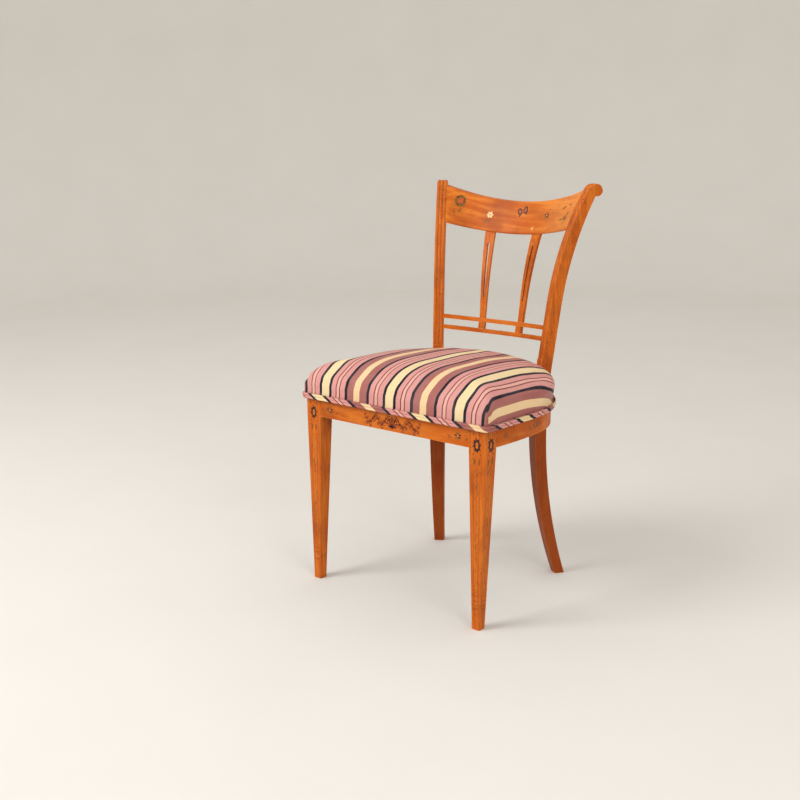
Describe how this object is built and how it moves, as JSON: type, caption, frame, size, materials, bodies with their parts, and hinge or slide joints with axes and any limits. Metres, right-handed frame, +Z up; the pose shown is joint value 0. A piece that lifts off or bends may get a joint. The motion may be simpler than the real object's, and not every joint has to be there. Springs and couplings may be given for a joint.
{
  "type": "side chair",
  "caption": "Painted wooden side chair with sabre back legs, reeded scrolled back posts, a concave crest rail with slotted splats and a striped upholstered seat.",
  "frame": {"origin": "on the floor, at the middle of the bounding box's lower face", "axes": "+Z up; the sitter faces -Y; +X is to the right of someone who looks at the chair from its front"},
  "size_m": [0.5, 0.4738, 0.8485],
  "materials": {
    "painted_wood": "satin salmon-orange finish with small painted flowers and dark wear",
    "bare_wood": "unfinished sawn wood",
    "steel": "plain wood screws",
    "jute": "woven jute straps",
    "burlap": "coarse burlap",
    "striped_fabric": "woven stripes in pink, mauve, cream and navy",
    "padding": "cotton and foam stuffing",
    "cambric": "thin black dust cloth"
  },
  "bodies": {
    "root": {"front_leg_right": "painted_wood", "front_leg_left": "painted_wood", "rear_post_right": "painted_wood", "rear_post_left": "painted_wood", "seat_rail_front": "painted_wood", "seat_rail_right": "painted_wood", "seat_rail_left": "painted_wood", "seat_rail_back": "painted_wood", "corner_block_right": "bare_wood", "corner_block_left": "bare_wood", "corner_block_screws": "steel", "glue_block_right": "bare_wood", "glue_block_left": "bare_wood", "splat_right": "painted_wood", "splat_left": "painted_wood", "crest_rail": "painted_wood", "cross_rail_lower": "painted_wood", "cross_rail_upper": "painted_wood", "spacer_block_right": "painted_wood", "spacer_block_left": "painted_wood", "webbing_crosswise": "jute", "webbing_lengthwise": "jute", "burlap_deck": "burlap", "seat_cover": "striped_fabric", "seat_pad": "padding", "welt_front": "striped_fabric", "welt_back": "striped_fabric", "dust_cover": "cambric"}
  },
  "joints": []
}
